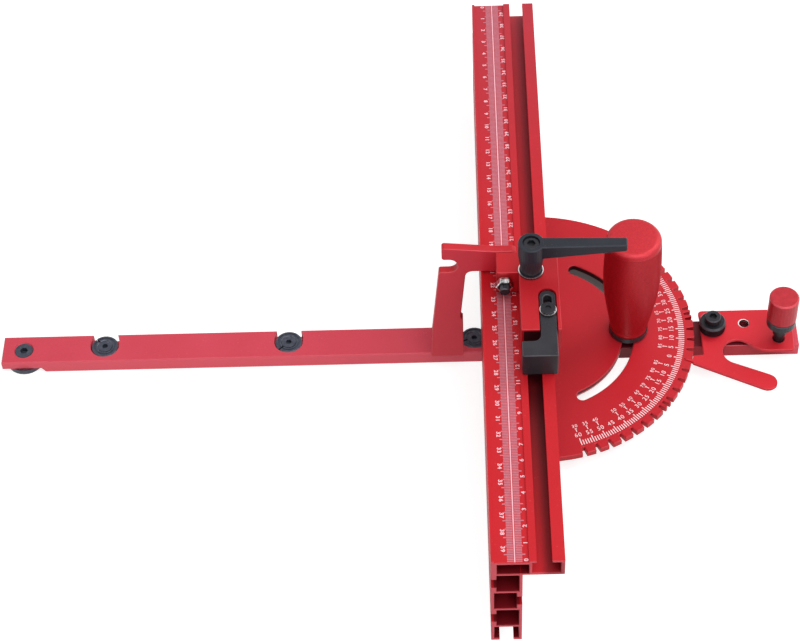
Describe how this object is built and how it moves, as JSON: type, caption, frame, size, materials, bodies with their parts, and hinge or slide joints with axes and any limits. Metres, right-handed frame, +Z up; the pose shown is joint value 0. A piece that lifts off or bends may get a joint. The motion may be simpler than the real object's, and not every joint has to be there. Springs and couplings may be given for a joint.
{
  "type": "miter gauge",
  "caption": "Miter gauge: slotted guide bar with a notched protractor head, a T-track fence with a hinged flip stop, a clamping handle and a spring-released index lever.",
  "frame": {"origin": "on the head's pivot axis, at the height of the bar's underside", "axes": "+X along the bar towards the index lever, +Y along the fence, +Z up"},
  "size_m": [0.45, 0.4, 0.12],
  "materials": {
    "red_bar": "red anodised, satin",
    "red_fence": "red anodised, satin",
    "red_head": "red anodised, satin",
    "red_handle": "red anodised, fine knurl",
    "black_steel": "black oxide, satin",
    "bright_steel": "bright zinc"
  },
  "bodies": {
    "bar": {"miter_bar": "red_bar", "anti_tip_washer": "black_steel", "anti_tip_screw": "black_steel", "expansion_disc_left": "black_steel", "expansion_disc_middle": "black_steel", "expansion_disc_right": "black_steel", "disc_screw_left": "black_steel", "disc_screw_middle": "black_steel", "disc_screw_right": "black_steel", "head_pivot_screw": "black_steel", "index_collar": "black_steel", "index_screw": "black_steel"},
    "head": {"protractor_head": "red_head", "fence_bracket": "red_head", "bracket_screw_near": "black_steel", "bracket_screw_far": "black_steel", "fence_bolt_near": "black_steel", "fence_bolt_far": "black_steel", "fence_nut_near": "bright_steel", "fence_nut_far": "bright_steel"},
    "fence_body": {"fence": "red_fence"},
    "stop": {"stop_block": "red_head", "stop_t_bolt": "bright_steel", "clamp_washer": "bright_steel", "limit_washer": "bright_steel", "limit_screw": "black_steel", "flip_bolt": "black_steel", "flip_nut": "bright_steel"},
    "flip": {"flip_arm": "red_head"},
    "clamp": {"lever_screw": "black_steel"},
    "lever": {"clamp_lever": "black_steel"},
    "limit": {"limit_stop": "black_steel"},
    "handle_body": {"handle": "red_handle", "handle_washer": "black_steel", "handle_stud": "bright_steel"},
    "index": {"index_lever": "red_head", "plunger_body": "black_steel"},
    "plunger": {"plunger_knob": "red_handle", "plunger_rod": "bright_steel"}
  },
  "joints": [
    {"name": "head_swing", "type": "hinge", "parent": "bar", "child": "head", "pos_m": [0, 0, 0.0118], "axis": [0, 0, 1], "range_deg": [-60, 60]},
    {"name": "fence_slide", "type": "slide", "parent": "head", "child": "fence_body", "axis": [0, 1, 0], "range_m": [-0.15, 0.15]},
    {"name": "stop_slide", "type": "slide", "parent": "fence_body", "child": "stop", "axis": [0, 1, 0], "range_m": [-0.16, 0.215]},
    {"name": "flip_hinge", "type": "hinge", "parent": "stop", "child": "flip", "pos_m": [-0.019, -0.0108, 0.0905], "axis": [0, 1, 0], "range_deg": [0, 180]},
    {"name": "clamp_turn", "type": "hinge", "parent": "stop", "child": "clamp", "pos_m": [-0.005, -0.0274, 0.11], "axis": [0, 0, 1], "range_deg": [-90, 90]},
    {"name": "lever_lift", "type": "slide", "parent": "clamp", "child": "lever", "axis": [0, 0, 1], "range_m": [0, 0.0035], "stiffness_N_per_m": 300, "springref_m": -0.003},
    {"name": "limit_slide", "type": "slide", "parent": "stop", "child": "limit", "axis": [0, -1, 0], "range_m": [0, 0.0083]},
    {"name": "handle_turn", "type": "hinge", "parent": "bar", "child": "handle_body", "pos_m": [0.0516, 0, 0.05], "axis": [0, 0, 1], "range_deg": [0, 360]},
    {"name": "index_release", "type": "hinge", "parent": "bar", "child": "index", "pos_m": [0.0987, 0, 0.0118], "axis": [0, 0, 1], "range_deg": [0, 10]},
    {"name": "plunger_pull", "type": "slide", "parent": "index", "child": "plunger", "axis": [0, 0, 1], "range_m": [0, 0.006], "stiffness_N_per_m": 300, "springref_m": -0.003}
  ]
}
